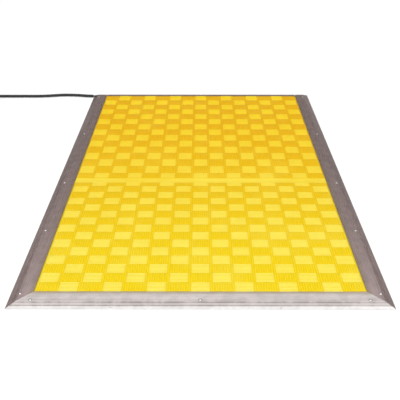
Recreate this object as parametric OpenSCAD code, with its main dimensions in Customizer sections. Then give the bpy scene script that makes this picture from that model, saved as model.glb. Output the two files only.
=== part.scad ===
// Pressure-sensitive floor safety mat: two ribbed contact panels in a mitred two-part ramp trim.
// The floor is z = 0, +X is to the right, +Y to the back, and the origin is under the middle of the trim.

/* [Panels] */
// Width of both panels
mat_w = 1000; // [700:10:1400]
// Nominal length of the rear panel, with half of the seam
rear_len = 1000; // [700:10:1400]
// Nominal length of the front panel, with half of the seam
front_len = 750; // [600:10:1200]
// Gap between the two panels at the seam
seam_gap = 0.6; // [0.2:0.1:2]
// Thickness of the base cover
base_t = 1.5; // [1:0.1:3]
// Thickness of each steel contact plate
plate_t = 1; // [0.6:0.1:1.5]
// Thickness of the insulating strips between the plates
strip_t = 1.5; // [1.2:0.1:3]
// Width of each insulating strip
strip_w = 12; // [8:1:20]
// Insulating strips in the rear panel
rear_strips = 10; // [6:1:12]
// Insulating strips in the front panel
front_strips = 8; // [5:1:9]
// Thickness of the tread cover over the upper plate
cover_t = 5.6; // [4:0.1:8]
// Width of the welded rim round the plates
rim_w = 12; // [8:0.5:20]
// Side clearance of the plates inside the rim
plate_gap = 0.5; // [0.2:0.1:0.8]

/* [Tread] */
// Ribbed squares across each panel
squares_across = 15; // [6:1:16]
// Ribbed squares along each panel
squares_along = 15; // [6:1:16]
// Grooves in each square
square_grooves = 2; // [1:1:2]
// Height of the ribbed field over its plain border
rib_h = 1.6; // [1:0.1:2.5]
// Depth of each groove
groove_depth = 1.5; // [0.8:0.1:2.4]
// Width of each groove at its top
groove_w = 14; // [6:0.5:16]
// Land left beyond each end of a groove
groove_land = 6; // [3:0.5:10]
// Plain border beside the trim
plain_border = 2; // [2:1:24]
// Plain border beside the seam
seam_border = 21; // [8:1:28]

/* [Ramp trim] */
// Width of the ramp cover in plan
trim_w = 70; // [60:1:100]
// Width of the rear trim as a share of the others
rear_share = 0.6; // [0.6:0.05:1]
// Overlap of the cover's lip on the panels
lip = 6; // [4:0.5:10]
// Clearance of the lip over the panels
lip_gap = 0.2; // [0.1:0.1:0.8]
// Wall of the ramp cover, measured upright
trim_wall = 1.8; // [1.4:0.1:3]
// Height of the nose at the outer edge
nose_h = 1.5; // [1:0.1:2.5]
// Width of the foot behind the nose
foot_w = 8; // [5:0.5:10]
// Plan width of the ramp
ramp_run = 26; // [24:0.5:34]
// Rise of the land from the ramp to the lip
land_rise = 2.2; // [1:0.1:3]
// Groove lines along each ramp cover
line_count = 3; // [1:1:3]
// Spacing of the groove lines, counted outwards from the screws
line_pitch = 10; // [8:0.5:14]
// Radius of each groove line
line_r = 0.6; // [0.3:0.1:0.9]
// Gap at the mitres
mitre_gap = 0.3; // [0.1:0.1:1]

/* [Base rails] */
// Thickness of the rail's floor flange
rail_t = 1.5; // [1:0.1:2]
// Clearance of the rail to the cover's foot and to the panels
rail_gap = 0.5; // [0.2:0.1:0.9]
// Width of the screw boss, which starts where the ramp ends
boss_w = 10; // [8:0.5:11]
// Thickness of the upstand beside the panels
upstand_t = 3.5; // [2:0.5:5]
// Clearance between the upstand and the cover
upstand_gap = 1; // [0.3:0.1:3]
// Radius of the floor fixing holes
fix_r = 2.75; // [1.5:0.05:3.5]
// Outer fixing holes of the side rails, from the panels' ends
side_fix_end = 175; // [100:5:250]
// Inner fixing holes of the side rails, from the middle
side_fix_mid = 300; // [100:10:400]
// Fixing holes of the front and rear rails, from the panels' side edges
cross_fix_end = 200; // [100:10:300]

/* [Trim screws] */
// Diameter of the screw head
head_d = 7.4; // [6:0.1:8]
// Diameter of the screw shank
shank_d = 3.6; // [3:0.1:4]
// Length of the screw
screw_len = 7; // [5:0.5:8]
// Depth of the head below the cover's top
head_drop = 0.6; // [0.2:0.1:0.8]
// Length of the cross recess in the head
recess_l = 4.1; // [3:0.1:5]
// Width of the cross recess's arms
recess_w = 1; // [0.6:0.1:1.4]
// Clearance round head and shank
screw_fit = 0.05; // [0.02:0.01:0.2]
// First side screw, in front of the panels' front edge
side_screw_out = 2; // [0:1:10]
// Middle side screw, in front of the seam
seam_screw_out = 20; // [0:1:40]
// Last side screw, in front of the panels' rear edge
side_screw_back = 17; // [12:1:60]
// End screws of the front and rear trim, inside the panels' side edges
cross_screw_in = 4; // [0:1:30]

/* [Leads] */
// Outer diameter of the cable
cable_d = 8; // [6:0.5:8]
// Outer diameter of the guard tube over the cable on the floor
guard_d = 14; // [10:0.5:16]
// Middle of the cable lead-out from the panels' left edge
lead_in = 30; // [24:1:80]
// Length of the elbow boot along the trim
boot_l = 24; // [18:1:40]
// Wall of the boots round their leads
boot_wall = 2; // [1:0.1:3]
// Clearance of the elbow boot under the ramp cover
boot_gap = 0.3; // [0.2:0.1:0.6]
// Side clearance of the cable in the ramp's notch
way_gap = 2.5; // [1:0.5:5]
// Depth of the cable in its boot
boot_grip = 10; // [6:0.5:16]
// Diameter of the link lead between the panels
link_d = 5; // [3:0.5:5.5]
// Width of each link boot
link_boot_w = 12; // [9:0.5:16]
// Depth of the link lead in its boots
link_grip = 5; // [3:0.5:6]
// Cores in each lead
lead_cores = 4; // [2:1:4]
// Spacing of the cores
core_pitch = 1.8; // [1.5:0.1:2]
// Reach of the cores between the plates
core_reach = 20; // [10:1:24]
// Reach of the cores into their boot
core_boot = 4; // [2:0.5:5]
// Clearance of the cores over and under
core_gap = 0.1; // [0.05:0.05:0.3]
// Side clearance of the cores and boots in their cut-outs
lead_gap = 0.5; // [0.2:0.1:0.8]

/* [Cable coil] */
// Turns side by side in the coil
coil_wide = 4; // [3:1:5]
// Turns on each other in the coil
coil_high = 4; // [3:1:5]
// Diameter at the middle of the coil's turns
coil_mid_d = 92; // [80:1:96]
// Width of the coil's tie
tie_w = 16; // [8:1:24]
// Thickness of the tie's strap
tie_t = 1.2; // [0.8:0.1:2]
// Angle where the cable's tail starts on the coil, in degrees
tail_start = 100; // [90:5:120]
// Turn of the cable's tail on the coil, in degrees
tail_turn = 70; // [40:5:120]
// Length of the sleeve on the cable's end
sleeve_l = 22; // [12:1:30]
// Wall of the sleeve
sleeve_t = 0.6; // [0.4:0.1:1]
// Diameter of each free core
free_core_d = 1.8; // [1.2:0.1:2]
// Spacing of the free cores
free_pitch = 2.7; // [2.6:0.1:3]
// Turn of the free cores on the coil, in degrees
core_turn = 50; // [30:5:70]
// Length of each ferrule
ferrule_l = 9; // [6:0.5:12]
// Diameter of each ferrule
ferrule_d = 2.4; // [2:0.1:2.6]

/* [Hidden] */
$fn = 48;
bite = 0.5;
yellow = "gold";
pale_yellow = "khaki";
steel = "lightsteelblue";
aluminium = "darkgray";
rail_grey = "silver";
black = [0.16, 0.16, 0.17];
core_white = "whitesmoke";

// Heights of the panel's layers
lower_z = base_t;
strip_z = lower_z + plate_t;
upper_z = strip_z + strip_t;
web_z = upper_z + plate_t;
panel_top = web_z + cover_t;

// Plan of the panels and of the whole trim. The rear trim is the same section, squeezed in plan.
reach = trim_w - lip;
rear_w = rear_share * trim_w;
rear_lip = rear_share * lip;
rear_reach = rear_w - rear_lip;
out_w = mat_w + 2 * reach;
out_l = rear_len + front_len + reach + rear_reach;
mat_front = reach - out_l / 2;
mat_rear = out_l / 2 - rear_reach;
mat_mid = (mat_front + mat_rear) / 2;
seam_y = mat_front + front_len;

// Heights of the ramp cover
lip_z = panel_top + lip_gap + trim_wall;
ramp_z = lip_z - land_rise;
function cover_top(s) =
    s < ramp_run
    ? nose_h + (ramp_z - nose_h) * s / ramp_run
    : ramp_z + land_rise * (s - ramp_run) / (trim_w - ramp_run);

// Lines along the trim from its outer edge: screws, grooves, upstand and the wiring duct's middle
screw_s = ramp_run + boss_w / 2;
line_s = [for (i = [0:line_count - 1]) screw_s - i * line_pitch];
upstand_s = reach - rail_gap - upstand_t;
duct_s = (ramp_run + boss_w + upstand_s) / 2;

// Places of the screws and fixing holes
side_x = out_w / 2 - screw_s;
first_screw_y = mat_front - side_screw_out;
middle_screw_y = seam_y - seam_screw_out;
last_screw_y = mat_rear - side_screw_back;
side_screw_y = [
    first_screw_y,
    (first_screw_y + middle_screw_y) / 2,
    middle_screw_y,
    (middle_screw_y + last_screw_y) / 2,
    last_screw_y
];
cross_screw_x = [for (i = [-1:1]) i * (mat_w / 2 - cross_screw_in)];
left_screws = [for (y = side_screw_y) [-side_x, y]];
right_screws = [for (y = side_screw_y) [side_x, y]];
front_screws = [for (x = cross_screw_x) [x, screw_s - out_l / 2]];
rear_screws = [for (x = cross_screw_x) [x, out_l / 2 - rear_share * screw_s]];
head_z = cover_top(screw_s) - head_drop;
head_cone = (head_d - shank_d) / 2;
side_fix_x = out_w / 2 - duct_s;
side_fix_y = [
    mat_front + side_fix_end,
    mat_mid - side_fix_mid,
    mat_mid + side_fix_mid,
    mat_rear - side_fix_end
];
cross_fix_x = [for (i = [-1, 1]) i * (mat_w / 2 - cross_fix_end)];
front_fix_y = duct_s - out_l / 2;
rear_fix_y = out_l / 2 - rear_share * duct_s;

// Places of the leads
core_d = strip_t - 2 * core_gap;
core_z = strip_z + strip_t / 2;
lead_x = -mat_w / 2 + lead_in;
lead_way = cable_d + 2 * way_gap;
boot_s = rear_share * (ramp_run + boss_w) + 2 * lead_gap;
boot_depth = rear_reach - boot_s;
boot_h = cover_top(boot_s / rear_share) - trim_wall - boot_gap;
lead_y = out_l / 2 - boot_s - boot_wall - cable_d / 2;
lead_z = boot_h / 2;
core_row = (lead_cores - 1) * core_pitch + core_d;
rear_link_y = seam_y + rear_len / rear_strips;
front_link_y = seam_y - front_len / front_strips;
link_x = -side_fix_x;
link_boot_depth = reach - duct_s + link_d / 2 + boot_wall;
link_boot_h = link_d + boot_wall;
link_z = rail_t + link_boot_h / 2;

// Free cable: its lay from the lead-out to the coil, in plan from the lead-out and with its height
cable_r = cable_d / 2;
guard_r = guard_d / 2;
lay = [
    [-2, 0, lead_z], [-16, 0, lead_z], [-30, 0, lead_z], [-45, 0, lead_z], [-69, 0, lead_z],
    [-84, 0, (lead_z + guard_r) / 2], [-98, 0, guard_r], [-116, 1, guard_r], [-134, 3.5, guard_r],
    [-152, 7, guard_r], [-170, 10.5, guard_r], [-190, 13.5, guard_r], [-210, 15.5, guard_r],
    [-230, 16.5, guard_r], [-250, 16.5, guard_r], [-270, 14.5, guard_r], [-290, 11.5, guard_r],
    [-310, 7.5, guard_r], [-330, 3.5, guard_r], [-350, 0.5, guard_r], [-372, -1.5, guard_r],
    [-396, -2.5, guard_r], [-420, -2.5, guard_r], [-450, -2.5, guard_r], [-480, -2.5, guard_r],
    [-510, -2.5, guard_r], [-540, -2.5, guard_r], [-570, -2.5, guard_r], [-592, -2.5, guard_r],
    [-612, -2.5, guard_r], [-624, -2.5, (cable_r + guard_r) / 2],
    [-636, -2.5, (9 * cable_r + guard_r) / 10], [-648, -2.5, cable_r], [-660, -2.5, cable_r]
];
route = [for (p = lay) [lead_x + p[0], lead_y + p[1], p[2]]];
guard_first = 6;
guard_last = 29;
tube_sides = 10;
coil_in = coil_mid_d / 2 - coil_wide * cable_d / 2;
coil_out = coil_mid_d / 2 + coil_wide * cable_d / 2;
coil_h = coil_high * cable_d + tie_t;
tie_span = coil_out - sqrt(pow(coil_in, 2) - pow(tie_w / 2, 2));
coil_x = route[len(route) - 1][0];
coil_y = route[len(route) - 1][1] - coil_out + cable_r;
sleeve_r = cable_r + sleeve_t;
tail_z = coil_h + sleeve_r;
tail_end = tail_start + tail_turn;

// Puts a panel's own frame in place: y runs from the seam to the panel's outer edge.
module in_rear_panel() {
    translate([0, seam_y, 0]) children();
}

module in_front_panel() {
    translate([0, seam_y, 0]) mirror([0, 1, 0]) children();
}

// A sheet of the panel, inset by the same amount on all four edges.
module panel_sheet(length, inset, z, t) {
    translate([-mat_w / 2 + inset, seam_gap / 2 + inset, z])
        cube([mat_w - 2 * inset, length - seam_gap / 2 - 2 * inset, t]);
}

// A V groove along X from the first end to the second, cut down from the top of the ribs.
module tread_groove(length) {
    rise = bite * groove_w / (2 * groove_depth);
    rotate([90, 0, 90])
        linear_extrude(length)
            polygon([[0, -groove_depth], [groove_w / 2 + rise, bite], [-groove_w / 2 - rise, bite]]);
}

// The grooves of one square, given as its two corners, along X or along Y.
module square_of_grooves(low, high, along_x) {
    size = high - low;
    across = along_x ? size[1] : size[0];
    length = (along_x ? size[0] : size[1]) - 2 * groove_land;
    for (i = [0:square_grooves - 1]) {
        step = across * (i + 0.5) / square_grooves;
        start = along_x ? [low[0] + groove_land, low[1] + step] : [low[0] + step, low[1] + groove_land];
        translate([start[0], start[1], panel_top + rib_h])
            rotate([0, 0, along_x ? 0 : 90])
                tread_groove(length);
    }
}

// Basket weave of grooves over the part of the panel that the trim leaves open.
module tread_grooves(length, over) {
    open_w = mat_w - 2 * lip;
    open_l = length - over;
    pitch = [open_w / squares_across, open_l / squares_along];
    field_low = [-open_w / 2 + plain_border, seam_border];
    field_high = [open_w / 2 - plain_border, open_l - plain_border];
    for (col = [0:squares_across - 1], row = [0:squares_along - 1]) {
        x = -open_w / 2 + col * pitch[0];
        y = row * pitch[1];
        low = [max(x, field_low[0]), max(y, field_low[1])];
        high = [min(x + pitch[0], field_high[0]), min(y + pitch[1], field_high[1])];
        square_of_grooves(low, high, (col + row) % 2 == 1);
    }
}

// Moulded cover: a tray turned over the plates, with the ribbed field on the part that the lip leaves open.
module tread_cover(length, over) {
    field_x = mat_w / 2 - lip - plain_border;
    field_l = length - over - plain_border - seam_border;
    difference() {
        union() {
            panel_sheet(length, 0, base_t, panel_top - base_t);
            translate([-field_x, seam_border, panel_top - bite])
                cube([2 * field_x, field_l, rib_h + bite]);
        }
        panel_sheet(length, rim_w, base_t - bite, web_z - base_t + bite);
        tread_grooves(length, over);
    }
}

// Slot through the rim for a row of cores, from the panel's edge at the origin inwards along +X.
module core_slot() {
    translate([-bite, -core_row / 2 - lead_gap, strip_z])
        cube([rim_w + plate_gap + bite, core_row + 2 * lead_gap, strip_t]);
}

// A row of cores through the rim, from the panel's edge at the origin inwards along +X.
module core_bundle() {
    for (i = [0:lead_cores - 1])
        translate([-core_boot, (i - (lead_cores - 1) / 2) * core_pitch, core_z])
            rotate([0, 90, 0])
                cylinder(d = core_d, h = core_boot + rim_w + core_reach);
}

// Frames of the lead-outs at the panels' edges, with +X into the panel.
module at_lead() {
    translate([lead_x, mat_rear, 0]) rotate([0, 0, -90]) children();
}

module at_rear_link() {
    translate([-mat_w / 2, rear_link_y, 0]) children();
}

module at_front_link() {
    translate([-mat_w / 2, front_link_y, 0]) children();
}

module contact_plate(length, z) {
    panel_sheet(length, rim_w + plate_gap, z, plate_t);
}

module insulating_strips(length, count) {
    strip_l = mat_w - 2 * rim_w - 2 * plate_gap;
    for (i = [0:count - 1])
        translate([-strip_l / 2, (i + 0.5) * length / count - strip_w / 2, strip_z])
            cube([strip_l, strip_w, strip_t]);
}

module rear_tread_cover() {
    color(yellow)
        difference() {
            in_rear_panel() tread_cover(rear_len, rear_lip);
            at_lead() core_slot();
            at_rear_link() core_slot();
        }
}

module front_tread_cover() {
    color(yellow)
        difference() {
            in_front_panel() tread_cover(front_len, lip);
            at_front_link() core_slot();
        }
}

module rear_upper_plate() {
    color(steel) in_rear_panel() contact_plate(rear_len, upper_z);
}

module front_upper_plate() {
    color(steel) in_front_panel() contact_plate(front_len, upper_z);
}

module rear_lower_plate() {
    color(steel) in_rear_panel() contact_plate(rear_len, lower_z);
}

module front_lower_plate() {
    color(steel) in_front_panel() contact_plate(front_len, lower_z);
}

module rear_insulating_strips() {
    color(pale_yellow) in_rear_panel() insulating_strips(rear_len, rear_strips);
}

module front_insulating_strips() {
    color(pale_yellow) in_front_panel() insulating_strips(front_len, front_strips);
}

module rear_base_cover() {
    color(black) in_rear_panel() panel_sheet(rear_len, 0, 0, base_t);
}

module front_base_cover() {
    color(black) in_front_panel() panel_sheet(front_len, 0, 0, base_t);
}

// Frames of the four trims: x runs along the outer edge, y inwards from it.
module on_front() {
    translate([-out_w / 2, -out_l / 2, 0]) children();
}

module on_right() {
    translate([out_w / 2, -out_l / 2, 0]) rotate([0, 0, 90]) children();
}

module on_rear() {
    translate([out_w / 2, out_l / 2, 0]) rotate([0, 0, 180]) children();
}

module on_left() {
    translate([-out_w / 2, out_l / 2, 0]) rotate([0, 0, -90]) children();
}

// Carries a section along a trim and mitres its ends. Each run is how far the mitre goes along the trim.
module mitred_bar(length, width, first_run, last_run) {
    first_cut = mitre_gap * norm([width, first_run]) / (2 * width);
    last_cut = mitre_gap * norm([width, last_run]) / (2 * width);
    first_over = bite * first_run / width;
    last_over = bite * last_run / width;
    intersection() {
        rotate([90, 0, 90]) linear_extrude(length) children();
        translate([0, 0, -bite])
            linear_extrude(lip_z + 2 * bite)
                polygon([
                    [first_cut - first_over, -bite],
                    [length - last_cut + last_over, -bite],
                    [length - last_cut - last_run - last_over, width + bite],
                    [first_cut + first_run + first_over, width + bite]
                ]);
    }
}

// A section's points with their plan width squeezed to a share.
function squeezed(points, share) = [for (p = points) [share * p[0], p[1]]];

// Section of the ramp cover: foot, ramp, land and a lip with a level seat, and groove lines on top.
module cover_section(share) {
    seat = reach - rail_gap;
    outline = [
        [0, 0],
        [0, nose_h],
        [ramp_run, ramp_z],
        [trim_w, lip_z],
        [trim_w, lip_z - trim_wall],
        [seat, lip_z - trim_wall],
        [seat, cover_top(seat) - trim_wall],
        [ramp_run, ramp_z - trim_wall],
        [foot_w, cover_top(foot_w) - trim_wall],
        [foot_w, 0]
    ];
    difference() {
        polygon(squeezed(outline, share));
        for (s = line_s)
            translate([share * s, cover_top(s)]) circle(r = line_r);
    }
}

// Section of the base rail: floor flange, screw boss up to the cover, and upstand beside the panels.
module rail_section(share) {
    rail_in = upstand_s + upstand_t;
    boss_in = ramp_run + boss_w;
    upstand_top = cover_top(upstand_s) - trim_wall - upstand_gap;
    outline = [
        [foot_w + rail_gap, 0],
        [foot_w + rail_gap, rail_t],
        [ramp_run, rail_t],
        [ramp_run, ramp_z - trim_wall],
        [boss_in, cover_top(boss_in) - trim_wall],
        [boss_in, rail_t],
        [upstand_s, rail_t],
        [upstand_s, upstand_top],
        [rail_in, upstand_top],
        [rail_in, 0]
    ];
    polygon(squeezed(outline, share));
}

// Countersunk screw, given room by the same shape with a clearance all round.
module screw_form(fit, over) {
    cone_low = head_z - head_cone;
    translate([0, 0, head_z - screw_len - fit])
        cylinder(d = shank_d + 2 * fit, h = screw_len + fit - head_cone / 2);
    translate([0, 0, cone_low])
        cylinder(r1 = shank_d / 2 + fit, r2 = head_d / 2 + fit + over, h = head_cone + over);
}

module screw_rooms(places) {
    for (p = places)
        translate([p[0], p[1], 0]) screw_form(screw_fit, head_drop + bite);
}

module fixing_holes(xs, ys) {
    for (x = xs, y = ys)
        translate([x, y, -bite]) cylinder(r = fix_r, h = rail_t + 2 * bite);
}

// Way of the cable under the left ramp and out through its nose, in the left trim's frame.
module cable_way(from, to) {
    translate([out_l / 2 - lead_y, 0, -bite]) {
        translate([-lead_way / 2, from, 0]) cube([lead_way, to - from, lip_z + 2 * bite]);
        translate([0, to, 0]) cylinder(d = lead_way, h = lip_z + 2 * bite);
    }
}

module left_ramp_cover() {
    color(aluminium)
        difference() {
            on_left() mitred_bar(out_l, trim_w, rear_w, trim_w) cover_section(1);
            screw_rooms(left_screws);
            on_left() cable_way(-bite, ramp_run - lead_way / 2);
        }
}

module right_ramp_cover() {
    color(aluminium)
        difference() {
            on_right() mitred_bar(out_l, trim_w, trim_w, rear_w) cover_section(1);
            screw_rooms(right_screws);
        }
}

module front_ramp_cover() {
    color(aluminium)
        difference() {
            on_front() mitred_bar(out_w, trim_w, trim_w, trim_w) cover_section(1);
            screw_rooms(front_screws);
        }
}

module rear_ramp_cover() {
    color(aluminium)
        difference() {
            on_rear() mitred_bar(out_w, rear_w, trim_w, trim_w) cover_section(rear_share);
            screw_rooms(rear_screws);
        }
}

// Opening in a rail's upstand for a boot, in a lead-out's frame.
module boot_opening(width) {
    translate([-rail_gap - upstand_t - bite, -width / 2 - lead_gap, rail_t])
        cube([upstand_t + rail_gap + 2 * bite, width + 2 * lead_gap, panel_top]);
}

// Floor of the rear duct that is cut away for the elbow boot and the cable, up to the left corner.
module cable_floor() {
    start = lead_x + boot_l / 2 + lead_gap;
    translate([-out_w / 2, mat_rear - bite, -bite])
        cube([start + out_w / 2, boot_depth + lead_gap + bite, panel_top]);
}

// The left rail stops short of the rear corner, which leaves the cable's way free.
module left_base_rail() {
    color(rail_grey)
        difference() {
            on_left() mitred_bar(out_l, trim_w, rear_w, trim_w) rail_section(1);
            screw_rooms(left_screws);
            fixing_holes([-side_fix_x], side_fix_y);
            on_left() translate([-bite, -bite, -bite]) cube([rear_reach + bite, trim_w, lip_z]);
            at_rear_link() boot_opening(link_boot_w);
            at_front_link() boot_opening(link_boot_w);
        }
}

module right_base_rail() {
    color(rail_grey)
        difference() {
            on_right() mitred_bar(out_l, trim_w, trim_w, rear_w) rail_section(1);
            screw_rooms(right_screws);
            fixing_holes([side_fix_x], side_fix_y);
        }
}

module front_base_rail() {
    color(rail_grey)
        difference() {
            on_front() mitred_bar(out_w, trim_w, trim_w, trim_w) rail_section(1);
            screw_rooms(front_screws);
            fixing_holes(cross_fix_x, [front_fix_y]);
        }
}

module rear_base_rail() {
    color(rail_grey)
        difference() {
            on_rear() mitred_bar(out_w, rear_w, trim_w, trim_w) rail_section(rear_share);
            screw_rooms(rear_screws);
            fixing_holes(cross_fix_x, [rear_fix_y]);
            cable_floor();
        }
}

module trim_screws() {
    color("gainsboro")
        for (p = concat(left_screws, right_screws, front_screws, rear_screws))
            translate([p[0], p[1], 0])
                difference() {
                    screw_form(0, 0);
                    for (turn = [0, 90])
                        translate([0, 0, head_z])
                            rotate([0, 0, turn])
                                cube([recess_l, recess_w, head_cone], center = true);
                }
}

// Elbow boot on the rear edge: the cores go in at its face and the cable leaves along the trim.
module lead_boot() {
    color(black)
        difference() {
            at_lead()
                translate([-boot_depth, -boot_l / 2, 0])
                    cube([boot_depth, boot_l, boot_h]);
            translate([lead_x - boot_l / 2 - bite, lead_y, lead_z])
                rotate([0, 90, 0])
                    cylinder(d = cable_d, h = boot_grip + bite);
            at_lead()
                translate([-core_boot, -core_row / 2 - lead_gap, strip_z])
                    cube([core_boot + bite, core_row + 2 * lead_gap, strip_t]);
        }
}

module lead_cores_inside() {
    color(core_white) at_lead() core_bundle();
}

// Boot of the link lead, in a lead-out's frame. Its side sets where the lead leaves.
module link_boot(side) {
    difference() {
        translate([-link_boot_depth, -link_boot_w / 2, rail_t])
            cube([link_boot_depth, link_boot_w, link_boot_h]);
        translate([link_x + mat_w / 2, side * link_boot_w / 2, link_z])
            rotate([90, 0, 0])
                cylinder(d = link_d, h = 2 * link_grip, center = true);
        translate([-core_boot, -core_row / 2 - lead_gap, strip_z])
            cube([core_boot + bite, core_row + 2 * lead_gap, strip_t]);
    }
}

module rear_link_boot() {
    color(black) at_rear_link() link_boot(-1);
}

module front_link_boot() {
    color(black) at_front_link() link_boot(1);
}

module link_lead() {
    start = front_link_y + link_boot_w / 2 - link_grip;
    stop = rear_link_y - link_boot_w / 2 + link_grip;
    color(black)
        translate([link_x, start, link_z])
            rotate([-90, 0, 0])
                cylinder(d = link_d, h = stop - start);
}

module link_cores() {
    color(core_white) {
        at_rear_link() core_bundle();
        at_front_link() core_bundle();
    }
}

// Rings of points round a route: each ring stands across the mean direction of its neighbours.
function unit(v) = v / norm(v);
function heading(points, i) =
    unit(points[min(i + 1, len(points) - 1)] - points[max(i - 1, 0)]);
function ring(centre, along, r, sides) =
    let (side = unit(cross(along, [0, 0, 1])), up = cross(side, along))
    [for (k = [0:sides - 1]) centre + r * (cos(360 * k / sides) * side + sin(360 * k / sides) * up)];

module swept_tube(points, r, sides) {
    rings = len(points);
    skin = [for (i = [0:rings - 1]) each ring(points[i], heading(points, i), r, sides)];
    walls = [
        for (i = [0:rings - 2], k = [0:sides - 1])
            let (a = i * sides + k, b = i * sides + (k + 1) % sides)
            each [[a, b, b + sides], [a, b + sides, a + sides]]
    ];
    first = [for (k = [sides - 1:-1:0]) k];
    last = [for (k = [0:sides - 1]) (rings - 1) * sides + k];
    polyhedron(skin, concat([first], walls, [last]));
}

module cable() {
    color(black) swept_tube(route, cable_r, tube_sides);
}

// Guard tube that fits tightly over the cable where it lies on the floor.
module cable_guard() {
    color(black)
        difference() {
            swept_tube([for (i = [guard_first:guard_last]) route[i]], guard_r, tube_sides);
            swept_tube(route, cable_r, tube_sides);
        }
}

// The unseen length as a round coil, cut away where the cable runs in and where the tie goes under.
module cable_coil() {
    color(black)
        translate([coil_x, coil_y, 0])
            difference() {
                rotate_extrude()
                    translate([coil_in, 0]) square([coil_out - coil_in, coil_h]);
                translate([0, coil_out - cable_d - bite, -bite])
                    cube([coil_out, cable_d + 2 * bite, cable_d + 2 * bite]);
                translate([-tie_w / 2, -coil_out - bite, -bite])
                    cube([tie_w, tie_span + 2 * bite, tie_t + bite]);
            }
}

module coil_tie() {
    color("dimgray")
        translate([coil_x - tie_w / 2, coil_y - coil_out, 0])
            difference() {
                translate([0, -tie_t, 0]) cube([tie_w, tie_span + 2 * tie_t, coil_h + tie_t]);
                translate([-bite, 0, tie_t]) cube([tie_w + 2 * bite, tie_span, coil_h - tie_t]);
            }
}

// An arc of a round section that lies on top of the coil.
module on_coil(z, start, turn, radius, d) {
    translate([coil_x, coil_y, z])
        rotate([0, 0, start])
            rotate_extrude(angle = turn)
                translate([radius, 0]) circle(d = d);
}

module cable_tail() {
    color(black) on_coil(tail_z, tail_start, tail_turn, coil_mid_d / 2, cable_d);
}

module cable_end_sleeve() {
    turn = 360 * sleeve_l / (PI * coil_mid_d);
    color("dimgray")
        difference() {
            on_coil(tail_z, tail_end - turn, turn, coil_mid_d / 2, 2 * sleeve_r);
            on_coil(tail_z, tail_end - turn - 1, turn + 2, coil_mid_d / 2, cable_d);
        }
}

function core_radius(i) = coil_mid_d / 2 + (i - (lead_cores - 1) / 2) * free_pitch;

module cable_end_cores() {
    color(core_white)
        for (i = [0:lead_cores - 1])
            on_coil(coil_h + ferrule_d / 2, tail_end, core_turn, core_radius(i), free_core_d);
}

module cable_end_ferrules() {
    color("silver")
        for (i = [0:lead_cores - 1])
            translate([coil_x, coil_y, coil_h + ferrule_d / 2])
                rotate([0, 0, tail_end + core_turn])
                    translate([core_radius(i), 0, 0])
                        rotate([-90, 0, 0])
                            cylinder(d = ferrule_d, h = ferrule_l);
}

rear_tread_cover();
rear_upper_plate();
rear_insulating_strips();
rear_lower_plate();
rear_base_cover();
front_tread_cover();
front_upper_plate();
front_insulating_strips();
front_lower_plate();
front_base_cover();
left_ramp_cover();
right_ramp_cover();
front_ramp_cover();
rear_ramp_cover();
left_base_rail();
right_base_rail();
front_base_rail();
rear_base_rail();
trim_screws();
lead_boot();
lead_cores_inside();
rear_link_boot();
front_link_boot();
link_lead();
link_cores();
cable();
cable_guard();
cable_coil();
coil_tie();
cable_tail();
cable_end_sleeve();
cable_end_cores();
cable_end_ferrules();
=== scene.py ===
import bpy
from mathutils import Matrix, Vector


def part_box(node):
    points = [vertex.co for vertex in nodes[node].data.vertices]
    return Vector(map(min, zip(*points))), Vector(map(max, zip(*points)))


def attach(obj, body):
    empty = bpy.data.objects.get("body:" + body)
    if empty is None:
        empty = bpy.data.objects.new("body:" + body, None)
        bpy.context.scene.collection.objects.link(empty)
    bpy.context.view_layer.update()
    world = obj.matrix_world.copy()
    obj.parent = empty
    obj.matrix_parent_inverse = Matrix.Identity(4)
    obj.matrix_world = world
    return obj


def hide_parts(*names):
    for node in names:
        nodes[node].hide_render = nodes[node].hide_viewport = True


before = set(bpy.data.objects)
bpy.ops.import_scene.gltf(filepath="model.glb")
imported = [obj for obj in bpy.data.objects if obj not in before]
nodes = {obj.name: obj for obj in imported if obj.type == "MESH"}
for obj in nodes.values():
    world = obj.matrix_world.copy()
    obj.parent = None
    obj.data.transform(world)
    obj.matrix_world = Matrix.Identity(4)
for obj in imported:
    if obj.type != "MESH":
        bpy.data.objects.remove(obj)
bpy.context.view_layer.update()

import math

import bpy
import numpy as np
from bpy.props import FloatProperty, FloatVectorProperty, IntProperty, PointerProperty

bl_info = {
    "name": "Safety mat looks",
    "version": (1, 0, 0),
    "blender": (4, 5, 0),
    "location": "3D View > Sidebar > Safety mat",
    "description": "Dresses a floor safety mat: ribbed panels, worn ramp trim, screws and cable",
    "category": "Object",
}

# Places on the mat, in metres

seam_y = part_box("rear_base_cover")[0].y
tread_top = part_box("rear_tread_cover")[1].z
lip_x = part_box("right_ramp_cover")[0].x
front_lip_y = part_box("front_ramp_cover")[1].y
front_width = front_lip_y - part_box("front_ramp_cover")[0].y
rear_lip_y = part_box("rear_ramp_cover")[0].y
rear_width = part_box("rear_ramp_cover")[1].y - rear_lip_y
screw_out = 0.039
side_screws = (-0.8642, -0.4982, -0.1322, 0.3693, 0.8708)
cross_screws = (-0.496, 0.0, 0.496)

# Marks on the trim, in metres outwards from a bar's lip, or from a screw for its ring. All but
# the film are painted light or shade: the side ramps' lighter colour, the nose's reflection,
# the shadow line at the lip, the darker outer edge and the shadow ring round each screw.

ramp_start = (0.038, 0.05)
nose_start = (0.0595, 0.063)
film_end = (0.005, 0.016)
lip_shade_end = (0.0006, 0.002)
edge_shade_start = (0.055, 0.064)
screw_shade_ring_end = (0.0038, 0.007)

# Dark lines along the trim, dirt with painted shade: metres outwards from the lip, half width
# and strength

grime_and_shade_lines = ((screw_out, 0.0014, 0.12), (0.0475, 0.0035, 0.3), (0.059, 0.0018, 0.28))

# Streaks on the trim: stretch along, stretch across, slice of the noise, its detail and roughness

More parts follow.
